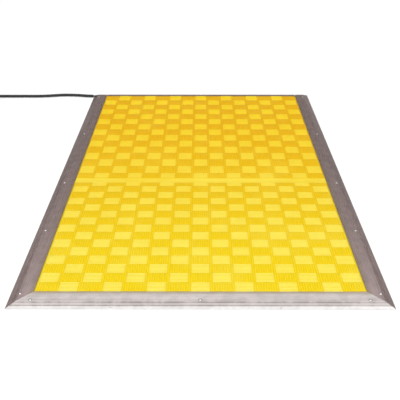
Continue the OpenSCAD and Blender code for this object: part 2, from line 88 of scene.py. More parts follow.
streak_kinds = {
    "Lines": (1.0, 1.0, 0.0, 3.0, 0.65),
    "Bands": (0.35, 0.12, 3.7, 4.0, 0.6),
    "Spots": (4.0, 0.4, 9.1, 2.0, 0.5),
    "Smudges": (3.0, 0.05, 15.3, 3.0, 0.6),
}

# The sky: height of a direction, from level to upright, and its red, green and blue

sky_stops = (
    (0.0, (1.0, 1.0, 1.0)),
    (0.06, (1.0, 1.0, 1.0)),
    (0.14, (0.24, 0.21, 0.2)),
    (0.51, (0.26, 0.23, 0.22)),
    (0.58, (1.42, 1.42, 1.42)),
    (0.7, (1.32, 1.32, 1.32)),
    (1.0, (1.22, 1.22, 1.22)),
)

# The cable's way along the floor: millimetres from the boot in X and Y, and share of the climb
# from the floor to the middle of the guard tube. The guard covers the points from guard_from on.

boot_x, boot_y, boot_level = -0.47, 0.8976, 0.00444
cable_lay = (
    (-2, 0, 0), (-16, 0, 0), (-30, 0, 0), (-45, 0, 0), (-69, 0, 0), (-84, 0, 0.5), (-98, 0, 1),
    (-116, 1, 1), (-134, 3.5, 1), (-152, 7, 1), (-170, 10.5, 1), (-190, 13.5, 1),
    (-210, 15.5, 1), (-230, 16.5, 1), (-250, 16.5, 1), (-270, 14.5, 1), (-290, 11.5, 1),
    (-310, 7.5, 1), (-330, 3.5, 1), (-350, 0.5, 1), (-372, -1.5, 1), (-396, -2.5, 1),
    (-420, -2.5, 1), (-450, -2.5, 1), (-480, -2.5, 1), (-510, -2.5, 1), (-540, -2.5, 1),
    (-570, -2.5, 1), (-592, -2.5, 1), (-612, -2.5, 1), (-624, -2.5, 0.5), (-636, -2.5, 0.1),
    (-648, -2.5, 0), (-660, -2.5, 0))
guard_from, guard_to = 6, 30
points_per_span = 6

# The coil: degrees where a step starts and stops, and how many cables it goes out, or layers up

coil_steps = (
    (300, 360, -1), (630, 720, -1), (960, 1080, -1),
    (1470, 1590, 1), (1830, 1920, 1), (2190, 2250, 1),
    (2790, 2850, -1), (3120, 3210, -1), (3450, 3570, -1),
    (3930, 4050, 1), (4290, 4380, 1), (4650, 4710, 1),
    (4980, 5050, -1.5))
coil_climbs = ((1230, 1320, 1), (2490, 2550, 1), (3690, 3810, 1), (4920, 4990, 1.0723))
coil_end, coil_stride = 5120, 6
layer_pitch = 0.0083
tie_lift, tie_settle, tie_width = 0.0012, 0.0003, 0.25

# The panels' map. A unit rib's face that is wider than widest_side is its underside, and it goes
# from underside_from to the wall's foot. An end goes in by end_sliver of half the rib's length for
# each unit of height. The rest are the shares of the pitch, the map and a band that are used.

widest_side, underside_from, end_sliver = 0.9, 0.47, 0.03
pitch_used, map_width, band_height, band_count = 0.96, 0.97, 0.96, 3


# Settings

class TreadSettings(bpy.types.PropertyGroup):
    """Sizes and colours of the ribbed vinyl panels."""

    squares: IntProperty(
        name="Squares", description="Ribbed squares across and along each panel", default=15)
    rib_pitch: FloatProperty(
        name="Rib pitch", description="Spacing of the ribs", default=0.0072, unit="LENGTH")
    rib_share: FloatProperty(
        name="Rib share", description="Width of a rib as a share of its pitch", default=0.6,
        subtype="FACTOR")
    rib_height: FloatProperty(
        name="Rib height", description="Height of the ribs over the sheet", default=0.0016,
        unit="LENGTH")
    rib_gap: FloatProperty(
        name="Rib gap", description="Gap between a rib's end and the edge of its square",
        default=0.0006, unit="LENGTH")
    shortest_rib: FloatProperty(
        name="Shortest rib", description="A rib that the border cuts shorter is left out",
        default=0.006, unit="LENGTH")
    cross_share: FloatProperty(
        name="Cross share", description="Width of a square of cross ribs as a share of its pitch",
        default=0.87, subtype="FACTOR")
    border: FloatProperty(
        name="Trim border", description="Plain border beside the trim", default=0.002,
        unit="LENGTH")
    seam_border: FloatProperty(
        name="Seam border", description="Plain border beside the seam", default=0.021,
        unit="LENGTH")
    sheet_edge: FloatProperty(
        name="Sheet edge", description="Softened upper edge of the sheet", default=0.001,
        unit="LENGTH")
    # Light and deep yellow are lit and shaded copies of one vinyl yellow: painted light on the
    # cross ribs, painted shade on the long ribs.
    light: FloatVectorProperty(
        name="Light yellow", description="Colour of the cross ribs at the rear",
        default=(0.98, 0.745, 0.03), subtype="COLOR")
    deep: FloatVectorProperty(
        name="Deep yellow", description="Colour of the long ribs at the rear",
        default=(0.845, 0.49, 0.001), subtype="COLOR")
    # The front copies are lighter: painted light that falls more on the front.
    light_lit_front: FloatVectorProperty(
        name="Lit front light", description="Colour of the cross ribs at the front",
        default=(0.97, 0.87, 0.145), subtype="COLOR")
    deep_lit_front: FloatVectorProperty(
        name="Lit front deep", description="Colour of the long ribs at the front",
        default=(0.89, 0.675, 0.008), subtype="COLOR")
    # The sheet between the ribs takes the shaded copy of the yellow: painted shade between the
    # ribs.
    gap_painted_light: FloatProperty(
        name="Gap tone", description="Tone of the sheet between the ribs", default=0.0,
        subtype="FACTOR")


class TrimSettings(bpy.types.PropertyGroup):
    """Colours of the ramp trim and shape of its screws."""

    metal: FloatVectorProperty(
        name="Metal", description="Colour of the front bar", default=(0.6, 0.55, 0.53),
        subtype="COLOR")
    # The side bars' colours are a shaded copy of the front bar's metal, painted shade; the ramp's
    # colour, lighter at the front, is painted light.
    shaded_side_land: FloatVectorProperty(
        name="Side land", description="Colour of the side bars' trodden land",
        default=(0.485, 0.388, 0.374), subtype="COLOR")
    lit_side_ramp: FloatVectorProperty(
        name="Side ramp", description="Colour of the side bars' ramp at the front",
        default=(0.58, 0.462, 0.444), subtype="COLOR")
    # The nose's near-white colour is a painted reflection of the pale floor.
    nose: FloatVectorProperty(
        name="Nose", description="Colour of the front bar's scoured nose",
        default=(0.86, 0.84, 0.83), subtype="COLOR")
    # This colour darkens the trim's marks: real scuffs and dirt, and painted shade at the lip, the
    # outer edge, the screws and the grooves.
    grime_and_shade: FloatVectorProperty(
        name="Grime", description="Colour of the grime in corners", default=(0.1, 0.085, 0.08),
        subtype="COLOR")
    film: FloatVectorProperty(
        name="Lip film", description="Colour of the film beside the panels",
        default=(0.33, 0.25, 0.13), subtype="COLOR")
    head_radius: FloatProperty(
        name="Head radius", description="Radius of a screw head", default=0.0037, unit="LENGTH")
    head_rise: FloatProperty(
        name="Head rise", description="Rise of the domed head", default=0.0009, unit="LENGTH")


class CableSettings(bpy.types.PropertyGroup):
    """Sizes of the cable and its coil."""

    diameter: FloatProperty(
        name="Diameter", description="Outer diameter of the cable", default=0.008, unit="LENGTH")
    guard: FloatProperty(
        name="Guard", description="Outer diameter of the guard tube", default=0.014,
        unit="LENGTH")
    coil_radius: FloatProperty(
        name="Coil radius", description="Radius of the coil's outer turn", default=0.058,
        unit="LENGTH")
    jacket: FloatVectorProperty(
        name="Jacket", description="Colour of the cable's jacket", default=(0.02, 0.02, 0.022),
        subtype="COLOR")


class StageSettings(bpy.types.PropertyGroup):
    """Camera, lamp and floor."""

    lens: FloatProperty(
        name="Lens", description="Focal length in millimetres", default=60.32, unit="CAMERA")
    eye: FloatVectorProperty(
        name="Eye", description="Place of the camera", default=(0.002, -2.4817, 1.1863),
        subtype="TRANSLATION")
    pitch: FloatProperty(
        name="Pitch", description="Tilt of the camera below the level",
        default=math.radians(28.056), subtype="ANGLE")
    yaw: FloatProperty(
        name="Yaw", description="Turn of the camera to the left", default=math.radians(0.108),
        subtype="ANGLE")
    lamp_power: FloatProperty(
        name="Lamp power", description="Power of the lamp", default=25.0, unit="POWER")
    lamp_size: FloatProperty(
        name="Lamp size", description="Side of the square lamp", default=2.0, unit="LENGTH")
    lamp_place: FloatVectorProperty(
        name="Lamp place", description="Place of the lamp", default=(0.2, -3.0, 3.2),
        subtype="TRANSLATION")
    lamp_tilt: FloatProperty(
        name="Lamp tilt", description="Tilt of the lamp towards the mat",
        default=math.radians(35), subtype="ANGLE")
    floor: FloatVectorProperty(
        name="Floor", description="Colour of the floor", default=(0.8, 0.8, 0.8),
        subtype="COLOR")
    floor_reach: FloatProperty(
        name="Floor reach", description="Distance from the middle to the floor's edge",
        default=150.0, unit="LENGTH")
    floor_drop: FloatProperty(
        name="Floor drop", description="Distance of the floor below the mat", default=0.0002,
        unit="LENGTH")
    floor_lift: FloatProperty(
        name="Floor lift", description="Glow that makes the floor white where it is seen",
        default=0.22, subtype="FACTOR")


# Shader nodes

def put(tree, kind, inputs=None, **settings):
    """Adds a node, sets it up and fills its inputs with values or links from other sockets."""
    made = tree.nodes.new(kind)
    for name, value in settings.items():
        setattr(made, name, value)
    for name, value in (inputs or {}).items():
        if isinstance(value, bpy.types.NodeSocket):
            tree.links.new(value, made.inputs[name])
        else:
            made.inputs[name].default_value = value
    return made


def calc(tree, operation, *values):
    """Puts a Math node on values or sockets and returns its result."""
    return put(tree, "ShaderNodeMath", dict(enumerate(values)), operation=operation).outputs[0]


def spread(tree, value, low, high, to_low=0.0, to_high=1.0):
    """Maps low..high smoothly to to_low..to_high and holds the ends."""
    return put(tree, "ShaderNodeMapRange",
               {"Value": value, "From Min": low, "From Max": high,
                "To Min": to_low, "To Max": to_high},
               interpolation_type="SMOOTHSTEP").outputs["Result"]


def blend(tree, factor, first, second, blend_type="MIX"):
    """Mixes two colours and returns the result."""
    return put(tree, "ShaderNodeMix", {0: factor, 6: first, 7: second}, data_type="RGBA",
               blend_type=blend_type).outputs[2]


def choose(tree, mask, first, second):
    """Returns the first value where a mask is 0 and the second where it is 1."""
    return put(tree, "ShaderNodeMix", {0: mask, 2: first, 3: second}).outputs[0]


def noise(tree, place, scale, detail, roughness=0.5):
    """Puts a noise texture at a place and returns its value, about 0.5."""
    return put(tree, "ShaderNodeTexNoise",
               {"Vector": place, "Scale": scale, "Detail": detail,
                "Roughness": roughness}).outputs["Fac"]


def shade(colour, level=1.0):
    """Returns a colour with an alpha, made darker or lighter."""
    return (*[channel * level for channel in colour], 1.0)


def new_group(name, inputs, outputs):
    """Starts a node group with named sockets and returns its tree, input node and output node."""
    tree = bpy.data.node_groups.new(name, "ShaderNodeTree")
    for direction, sockets in (("INPUT", inputs), ("OUTPUT", outputs)):
        for socket, kind in sockets.items():
            tree.interface.new_socket(
                socket, in_out=direction, socket_type="NodeSocket" + kind)
    return tree, tree.nodes.new("NodeGroupInput"), tree.nodes.new("NodeGroupOutput")


def grain_group():
    """Moulded grain: fine noise gives a height and slow noise gives a shade, both about 0.5."""
    tree, given, result = new_group(
        "Moulded grain", {"Vector": "Vector", "Fine": "Float", "Slow": "Float"},
        {"Height": "Float", "Shade": "Float"})
    place = given.outputs["Vector"]
    tree.links.new(noise(tree, place, given.outputs["Fine"], 3.0), result.inputs["Height"])
    tree.links.new(noise(tree, place, given.outputs["Slow"], 4.0, 0.6), result.inputs["Shade"])
    return tree


def streak_group():
    """Drawn streaks: slices of noise, each stretched by its own amounts along and across a bar.

    Lines and bands are long along the bar. Spots and smudges are short along it.
    """
    tree, given, result = new_group(
        "Drawn streaks",
        {"Along": "Float", "Across": "Float", "Length": "Float", "Width": "Float"},
        {name: "Float" for name in streak_kinds})
    along = calc(tree, "DIVIDE", given.outputs["Along"], given.outputs["Length"])
    across = calc(tree, "DIVIDE", given.outputs["Across"], given.outputs["Width"])
    for name, (run, width, level, detail, roughness) in streak_kinds.items():
        place = put(tree, "ShaderNodeCombineXYZ",
                    {"X": calc(tree, "MULTIPLY", along, run),
                     "Y": calc(tree, "MULTIPLY", across, width), "Z": level}).outputs[0]
        tree.links.new(noise(tree, place, 1.0, detail, roughness), result.inputs[name])
    return tree


def trim_place_group():
    """Place on the trim: metres along the bar, metres outwards from its lip, and two masks.

    The masks show the cross bars and the front bar. The rear bar is narrower, so its metres
    outwards are stretched to the width of the others.
    """
    tree, given, result = new_group(
        "Trim place", {"Vector": "Vector"},
        {"Along": "Float", "Across": "Float", "Cross bars": "Float", "Front bar": "Float"})
    x, y, _ = put(tree, "ShaderNodeSeparateXYZ", {0: given.outputs["Vector"]}).outputs
    beside = calc(tree, "SUBTRACT", calc(tree, "ABSOLUTE", x), lip_x)
    behind = calc(tree, "MULTIPLY", calc(tree, "SUBTRACT", y, rear_lip_y),
                  front_width / rear_width)
    beyond = calc(tree, "MAXIMUM", behind, calc(tree, "SUBTRACT", front_lip_y, y))
    cross = calc(tree, "GREATER_THAN", beyond, beside)
    ahead = calc(tree, "LESS_THAN", y, front_lip_y)
    tree.links.new(choose(tree, cross, y, x), result.inputs["Along"])
    tree.links.new(calc(tree, "MAXIMUM", beside, beyond), result.inputs["Across"])
    tree.links.new(cross, result.inputs["Cross bars"])
    tree.links.new(calc(tree, "MULTIPLY", cross, ahead), result.inputs["Front bar"])
    return tree


def use_group(tree, name, maker, inputs):
    """Places a shared node group in a material and builds it the first time."""
    return put(tree, "ShaderNodeGroup", inputs,
               node_tree=bpy.data.node_groups.get(name) or maker())


def new_material(name):
    """Starts a material and returns it, its tree, its Principled BSDF and Object coordinates."""
    material = bpy.data.materials.new(name)
    material.use_nodes = True
    tree = material.node_tree
    place = put(tree, "ShaderNodeTexCoord").outputs["Object"]
    return material, tree, tree.nodes["Principled BSDF"], place


def raise_bump(tree, bsdf, height, distance):
    """Feeds a height through a Bump node of so many metres into the normal."""
    bump = put(tree, "ShaderNodeBump", {"Height": height, "Distance": distance, "Strength": 1.0})
    tree.links.new(bump.outputs[0], bsdf.inputs["Normal"])


def plain_material(name, colour, roughness, metallic=0.0, fine=900.0, slow=25.0, relief=0.0001,
                   sway=0.12):
    """Moulded or drawn stock: slow grain sways the colour and the roughness, fine grain is relief.

    The colour goes from 1 - sway to 1 + sway times what is given, and the roughness falls with it.
    """
    material, tree, bsdf, place = new_material(name)
    grain = use_group(tree, "Moulded grain", grain_group,
                      {"Vector": place, "Fine": fine, "Slow": slow})
    tint = spread(tree, grain.outputs["Shade"], 0.3, 0.7)
    tree.links.new(blend(tree, tint, shade(colour, 1 - sway), shade(colour, 1 + sway)),
                   bsdf.inputs["Base Color"])
    matt = spread(tree, grain.outputs["Shade"], 0.3, 0.7, roughness + 0.06, roughness - 0.06)
    tree.links.new(matt, bsdf.inputs["Roughness"])
    bsdf.inputs["Metallic"].default_value = metallic
    raise_bump(tree, bsdf, grain.outputs["Height"], relief)
    return material


def vinyl_material(settings):
    """Ribbed vinyl: an attribute blends between a lit and a shaded copy of one yellow, which is
    painted light and painted shade, and dust with painted shade sits low between the ribs.

    The plain strip beside the seam gets painted light nearly as strong as the cross ribs', and no
    painted shade low down. Both yellows get lighter from the rear to the front: painted light
    that falls more on the front.
    """
    material, tree, bsdf, place = new_material("tread_vinyl_yellow")
    _, y, z = put(tree, "ShaderNodeSeparateXYZ", {0: place}).outputs
    grain = use_group(tree, "Moulded grain", grain_group,
                      {"Vector": place, "Fine": 700.0, "Slow": 5.0})
    # Painted light: 1 picks the lit copy of the yellow, 0 the shaded copy.
    painted_light = put(tree, "ShaderNodeAttribute", attribute_name="painted_light").outputs["Fac"]
    # The plain strip beside the seam gets painted light nearly as strong as the cross ribs'.
    off_seam = calc(tree, "ABSOLUTE", calc(tree, "SUBTRACT", y, seam_y))
    strip = spread(tree, off_seam, settings.seam_border - 0.002, settings.seam_border, 0.65, 0.0)
    painted_light = calc(tree, "MAXIMUM", painted_light, strip)
    sway = spread(tree, grain.outputs["Shade"], 0.35, 0.65, -0.12, 0.12)
    # Painted light: both yellows get lighter towards the front, where more light falls.
    painted_front_light = spread(tree, y, rear_lip_y - 0.28, front_lip_y - 0.1)
    deep = blend(tree, painted_front_light, shade(settings.deep), shade(settings.deep_lit_front))
    light = blend(tree, painted_front_light, shade(settings.light), shade(settings.light_lit_front))
    yellow = blend(tree, calc(tree, "ADD", painted_light, sway), deep, light)
    # Darker low between the ribs: dust with painted shade, left off the plain strip.
    low = spread(tree, z, tread_top - 0.0015, tread_top - 0.0006, 0.25, 0.0)
    low = calc(tree, "MULTIPLY", low, calc(tree, "SUBTRACT", 1.0, strip))
    tree.links.new(blend(tree, low, yellow, shade((0.7, 0.66, 0.6)), "MULTIPLY"),
                   bsdf.inputs["Base Color"])
    tree.links.new(spread(tree, grain.outputs["Shade"], 0.3, 0.7, 0.6, 0.48),
                   bsdf.inputs["Roughness"])
    bsdf.inputs["Specular IOR Level"].default_value = 0.1
    raise_bump(tree, bsdf, grain.outputs["Height"], 0.00006)
    return material


def screw_distance(tree, along, across, cross):
    """Metres to the nearest screw: the root of the sum of squares along and across the bar."""
    nearest = []
    for places in (side_screws, cross_screws):
        gaps = [calc(tree, "ABSOLUTE", calc(tree, "SUBTRACT", along, place)) for place in places]
        least = gaps[0]
        for gap in gaps[1:]:
            least = calc(tree, "MINIMUM", least, gap)
        nearest.append(least)
    gap = choose(tree, cross, *nearest)
    off = calc(tree, "SUBTRACT", across, screw_out)
    squares = [calc(tree, "MULTIPLY", side, side) for side in (gap, off)]
    return calc(tree, "SQRT", calc(tree, "ADD", *squares))


def trim_material(settings):
    """Worn aluminium: streaks, bands and smudges, a film at the lip, scuffs, and painted light and
    shade.

    Painted shade: a shadow line at the lip, a darker outer edge on the side and rear bars, and a
    shadow ring round each screw; dark lines along the bars are dirt with painted shade. The front
    bar is the brightest, and the side and rear bars are a shaded copy of its metal. The front bar's
    nose carries a painted reflection, stronger to the right. The side bars' ramps are lighter than
    their land at the front, painted light, and like it at the rear, as the whole rear bar is.
    """
    material, tree, bsdf, place = new_material("trim_worn_aluminium")
    where = use_group(tree, "Trim place", trim_place_group, {"Vector": place})
    along, across, cross, front = where.outputs
    streaks = use_group(tree, "Drawn streaks", streak_group,
                        {"Along": along, "Across": across, "Length": 0.09, "Width": 0.0016})
    lines, bands, spots, smudges = streaks.outputs

    # Painted shade: the side and rear bars take a shaded copy of the front bar's metal, the side
    # ramps lighter at the front.
    back = put(tree, "ShaderNodeSeparateXYZ", {0: place}).outputs["Y"]
    ramp = blend(tree, spread(tree, back, -0.6, 0.0), shade(settings.lit_side_ramp),
                 shade(settings.shaded_side_land))
    side = blend(tree, spread(tree, across, *ramp_start), shade(settings.shaded_side_land), ramp)
    metal = blend(tree, front, side, shade(settings.metal))
    # Painted reflection on the front bar's nose, stronger to the right.
    nose_reflection_share = calc(tree, "MULTIPLY", front, spread(tree, along, -0.3, 0.3, 0.72, 0.92))
    nose = calc(tree, "MULTIPLY", spread(tree, across, *nose_start), nose_reflection_share)
    metal = blend(tree, nose, metal, shade(settings.nose))

    dull = calc(tree, "ADD", spread(tree, bands, 0.35, 0.65, 0.0, 0.14),
                spread(tree, smudges, 0.4, 0.65, 0.0, 0.16))
    metal = blend(tree, dull, metal, shade((0.3, 0.28, 0.29)), "MULTIPLY")
    film = calc(tree, "MULTIPLY", spread(tree, across, *film_end, 1.0, 0.0),
                spread(tree, front, 0.0, 1.0, 0.35, 0.6))
    metal = blend(tree, film, metal, shade(settings.film))

    # Painted shadow line at the lip, and painted shade at the outer edge of the side and rear bars.
    grime_and_shade = spread(tree, across, *lip_shade_end, 0.6, 0.0)
    edge = calc(tree, "MULTIPLY", spread(tree, across, *edge_shade_start, 0.0, 0.4),
                calc(tree, "SUBTRACT", 1.0, front))
    grime_and_shade = calc(tree, "MAXIMUM", grime_and_shade, edge)
    # Dark lines along the bars: dirt with painted shade, broken up by the smudges.
    line_breakup = spread(tree, smudges, 0.38, 0.62, 0.4, 1.3)
    for line, reach, depth in grime_and_shade_lines:
        off = calc(tree, "ABSOLUTE", calc(tree, "SUBTRACT", across, line))
        mark = calc(tree, "MULTIPLY", spread(tree, off, 0.4 * reach, reach, depth, 0.0), line_breakup)
        grime_and_shade = calc(tree, "MAXIMUM", grime_and_shade, mark)
    scuffs = spread(tree, spots, 0.68, 0.76, 0.0, 0.6)
    # Painted shadow ring round each screw.
    ring = spread(tree, screw_distance(tree, along, across, cross), *screw_shade_ring_end, 0.85, 0.0)
    grime_and_shade = calc(tree, "MAXIMUM", grime_and_shade, calc(tree, "MAXIMUM", scuffs, ring))

    tree.links.new(blend(tree, grime_and_shade, metal, shade(settings.grime_and_shade)), bsdf.inputs["Base Color"])
    tree.links.new(calc(tree, "SUBTRACT", 1.0, calc(tree, "MULTIPLY", grime_and_shade, 0.5)),
                   bsdf.inputs["Metallic"])
    rough = spread(tree, lines, 0.3, 0.7, 0.25, 0.33)
    tree.links.new(calc(tree, "ADD", rough, calc(tree, "MULTIPLY", grime_and_shade, 0.2)),
                   bsdf.inputs["Roughness"])
    raise_bump(tree, bsdf, lines, 0.000008)
    return material


def floor_material(settings):
    """Pale floor: matt, takes the shadow, and glows a little where it is seen or mirrored."""
    material, tree, bsdf, _ = new_material("stage_floor_white")
    bsdf.inputs["Base Color"].default_value = shade(settings.floor)
    bsdf.inputs["Roughness"].default_value = 1.0
    bsdf.inputs["Specular IOR Level"].default_value = 0.0
    bsdf.inputs["Emission Color"].default_value = (1.0, 1.0, 1.0, 1.0)
    rays = put(tree, "ShaderNodeLightPath")
    seen = calc(tree, "MAXIMUM", rays.outputs["Is Camera Ray"], rays.outputs["Is Glossy Ray"])
    seen = calc(tree, "MAXIMUM", seen, rays.outputs["Is Transmission Ray"])
    tree.links.new(calc(tree, "MULTIPLY", seen, settings.floor_lift),
                   bsdf.inputs["Emission Strength"])
    return material


def dress(material, *names):
    """Gives a material to CAD nodes through their objects' slots."""
    for name in names:
        for slot in nodes[name].material_slots:
            slot.material = material


# Surfaces

def new_piece(name, points, quads, material):
    """Makes a mesh object of quads from whole arrays and puts it on its body."""
    mesh = bpy.data.meshes.new(name)
    mesh.vertices.add(len(points))
    mesh.vertices.foreach_set("co", np.ascontiguousarray(points, dtype=np.float32).ravel())
    mesh.loops.add(quads.size)
    mesh.loops.foreach_set("vertex_index", np.ascontiguousarray(quads, dtype=np.int32).ravel())
    mesh.polygons.add(len(quads))
    mesh.polygons.foreach_set("loop_start", np.arange(0, quads.size, 4, dtype=np.int32))
    mesh.update(calc_edges=True)
    mesh.validate()
    mesh.materials.append(material)
    piece = bpy.data.objects.new(name, mesh)
    bpy.context.scene.collection.objects.link(piece)
    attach(piece, "root")
    return piece


def set_smooth(piece):
    """Shades a piece smooth."""
    piece.data.polygons.foreach_set("use_smooth", np.ones(len(piece.data.polygons), dtype=bool))


def grid_quads(rows, columns, closed=False):
    """Quads of points stored row by row. A closed grid joins its last column to its first."""
    r = np.arange(rows - 1)[:, None]
    c = np.arange(columns if closed else columns - 1)[None, :]
    n = (c + 1) % columns
    a, b = r * columns + c, r * columns + n
    return np.stack([a, b, b + columns, a + columns], axis=-1).reshape(-1, 4)


def cap_quads(sides):
    """Quads that close a ring: each joins a step on one half to the step facing it on the other."""
    step = np.arange(sides // 2 - 1)
    return np.stack([step, step + 1, sides - 2 - step, sides - 1 - step], axis=-1)


def copy_quads(quads, size, count):
    """The quads of so many copies of a form, each form's points following the last one's."""
    return (quads[None] + (np.arange(count) * size)[:, None, None]).reshape(-1, 4)


def rib_form():
    """One rib of unit size: a round-topped profile carried along x over four stations.

    Across is y from -0.5 to 0.5, up is z from a little below the sheet to 1. The end stations are
    lower, so that the ends slope, and both ends are closed. The rib is also laid out flat, corner
    by corner: along as it is, across by the profile unrolled, most of it top. The hidden
    underside becomes a sliver beside one wall, and each end a sliver inside the rib's end.
    """
    profile = np.array([[-0.5, -0.2], [-0.5, 0.4], [-0.38, 0.8], [-0.15, 1.0],
                        [0.15, 1.0], [0.38, 0.8], [0.5, 0.4], [0.5, -0.2]])
    unrolled = np.array([-0.5, -0.44, -0.4, -0.25, 0.25, 0.4, 0.44, 0.5])
    station = np.array([-0.5, -0.47, 0.47, 0.5])
    lower = np.array([0.55, 1.0, 1.0, 0.55])
    up = np.where(profile[:, 1] > 0, profile[:, 1] * lower[:, None], profile[:, 1])
    points = np.stack([np.broadcast_to(station[:, None], up.shape),
                       np.broadcast_to(profile[:, 0], up.shape), up], axis=-1).reshape(-1, 3)
    walls = grid_quads(len(station), len(profile), closed=True)
    cap = cap_quads(len(profile))
    last = len(points) - len(profile)
    quads = np.concatenate([walls[:, ::-1], cap[:, ::-1] + last, cap])
    flat = np.stack([np.repeat(station, len(profile)), np.tile(unrolled, len(station))], axis=-1)
    flat = flat[quads]
    across, ends = flat[:len(walls), :, 1], flat[len(walls):, :, 0]
    underside = np.ptp(across, axis=1) > widest_side
    across[underside[:, None] & (across < 0)] = underside_from
    ends *= 1 - end_sliver * (points[quads[len(walls):], 2] - profile[0, 1])
    return points, quads, flat


def ribs(centres, lengths, widths, pitches, height, sheet, along_x):
    """Copies the unit rib to each centre, at its length, width and height, along X or along Y.

    Its flat layout is stretched to the length and nearly the pitch, so that neighbours don't
    overlap there.
    """
    form, quads, flat = rib_form()
    size = np.stack([lengths, widths, np.full_like(lengths, height)], axis=-1)
    local = form[None] * size[:, None]
    laid = flat[None] * np.stack([lengths, pitch_used * pitches], axis=-1)[:, None, None]
    if not along_x:
        local = np.stack([-local[..., 1], local[..., 0], local[..., 2]], axis=-1)
        laid = np.stack([-laid[..., 1], laid[..., 0]], axis=-1)
    base = np.concatenate([centres, np.full((len(centres), 1), sheet)], axis=-1)
    points = (local + base[:, None]).reshape(-1, 3)
    laid = (laid + centres[:, None, None]).reshape(-1, 2)
    return points, copy_quads(quads, len(form), len(centres)), laid


def sheet_form(low, high, bottom, top, edge):
    """A closed sheet: rings of four corners, from the underside round a soft edge to the top.

    Its flat layout is the view from above, larger the deeper a point lies, so that the walls have
    a width there.
    """
    shoulder = 0.3 * edge
    inset = np.array([edge, 0.0, 0.0, shoulder, edge])
    level = np.array([bottom, bottom, top - edge, top - shoulder, top])
    corner = np.array([[0, 0], [1, 0], [1, 1], [0, 1]])
    reach = np.where(corner[None] == 0, low + inset[:, None, None], high - inset[:, None, None])
    level = np.broadcast_to(level[:, None, None], (len(inset), len(corner), 1))
    points = np.concatenate([reach, level], axis=-1).reshape(-1, 3)
    walls = grid_quads(len(inset), len(corner), closed=True)
    quads = np.concatenate([walls, [[3, 2, 1, 0], [16, 17, 18, 19]]])
    middle = (low + high) / 2
    flat = middle + (points[:, :2] - middle) * (1 + top - points[:, 2:])
    return points, quads, flat[quads].reshape(-1, 2)


def map_band(flat, low, high, band):
    """Puts a flat layout into one band of the panel's map, which has three, one over the other.

    The sheet, the cross ribs and the long ribs have a band each, so that their colours don't run
    into each other when they are baked into the map.
    """
    share = (flat - (low + high) / 2) / (high - low)
    across = 0.5 + map_width * share[:, 0]
    return np.stack([across, (band + 0.5 + band_height * share[:, 1]) / band_count], axis=-1)


def panel_ribs(settings, low, high):
    """Basket weave over the open field: squares of cross ribs and of long ribs take turns.

    Each square's ribs sit at even steps through it. A square of cross ribs is narrower than its
    pitch and the long ribs beside it fill what it leaves. What lies in the plain border is left
    out or cut short.
    """
    count = settings.squares
    pitch = (high - low) / count
    inner_low = low + [settings.border, settings.seam_border]
    inner_high = high - settings.border
    column, row = np.meshgrid(np.arange(count), np.arange(count), indexing="ij")
    cross = (column + row) % 2 == 1
    middle = low + (np.stack([column, row], axis=-1) + 0.5) * pitch
    parts = []
    for along_x in (True, False):
        axis = 0 if along_x else 1
        chosen = middle[cross == along_x]
        span = pitch[1] if along_x else pitch[0] * (2 - settings.cross_share)
        run = pitch[0] * settings.cross_share if along_x else pitch[1]
        number = int(round(span / settings.rib_pitch))
        offset = ((np.arange(number) + 0.5) / number - 0.5) * span
        across = chosen[:, None, 1 - axis] + offset
        along = np.broadcast_to(chosen[:, None, axis], across.shape)
        start = np.maximum(along - run / 2 + settings.rib_gap, inner_low[axis])
        stop = np.minimum(along + run / 2 - settings.rib_gap, inner_high[axis])
        room = ((across > inner_low[1 - axis]) & (across < inner_high[1 - axis])
                & (stop - start > settings.shortest_rib))
        across, start, stop = across[room], start[room], stop[room]
        centre = [(start + stop) / 2, across]
        centre = np.stack(centre if along_x else centre[::-1], axis=-1)
        width = np.full(len(across), span / number * settings.rib_share)
        parts.append((centre, stop - start, width, along_x))
    return parts


def tube_form(path, radius, sides):
    """A round tube: rings across the path's own direction, with both ends closed."""
    ahead = np.gradient(path, axis=0)
    ahead /= np.linalg.norm(ahead, axis=1, keepdims=True)
    side = np.cross(ahead, [0.0, 0.0, 1.0])
    side /= np.linalg.norm(side, axis=1, keepdims=True)
    up = np.cross(side, ahead)
    turn = (np.arange(sides) * 2 * np.pi / sides)[:, None]
    ring = np.cos(turn) * side[:, None] + np.sin(turn) * up[:, None]
    points = (path[:, None] + radius * ring).reshape(-1, 3)
    cap = cap_quads(sides)
    walls = grid_quads(len(path), sides, closed=True)
    return points, np.concatenate([walls, cap[:, ::-1], cap + len(points) - sides])


def through(points, per_span):
    """A smooth curve: each span is a cubic whose end directions come from the neighbours."""
    ends = np.concatenate([2 * points[:1] - points[1:2], points, 2 * points[-1:] - points[-2:-1]])
    slope = (ends[2:] - ends[:-2]) / 2
    t = (np.arange(per_span) / per_span)[None, :, None]
    a, b, da, db = points[:-1, None], points[1:, None], slope[:-1, None], slope[1:, None]
    curve = ((2 * t**3 - 3 * t**2 + 1) * a + (t**3 - 2 * t**2 + t) * da
             + (3 * t**2 - 2 * t**3) * b + (t**3 - t**2) * db)
    return np.concatenate([curve.reshape(-1, 3), points[-1:]])


def smooth_steps(turn, steps):
    """Sum of smooth steps, each given as the angles where it starts and stops and its amount."""
    start, stop, amount = np.array(steps, dtype=float).T
    share = np.clip((turn[:, None] - start) / (stop - start), 0, 1)
    return (amount * share**2 * (3 - 2 * share)).sum(axis=1)


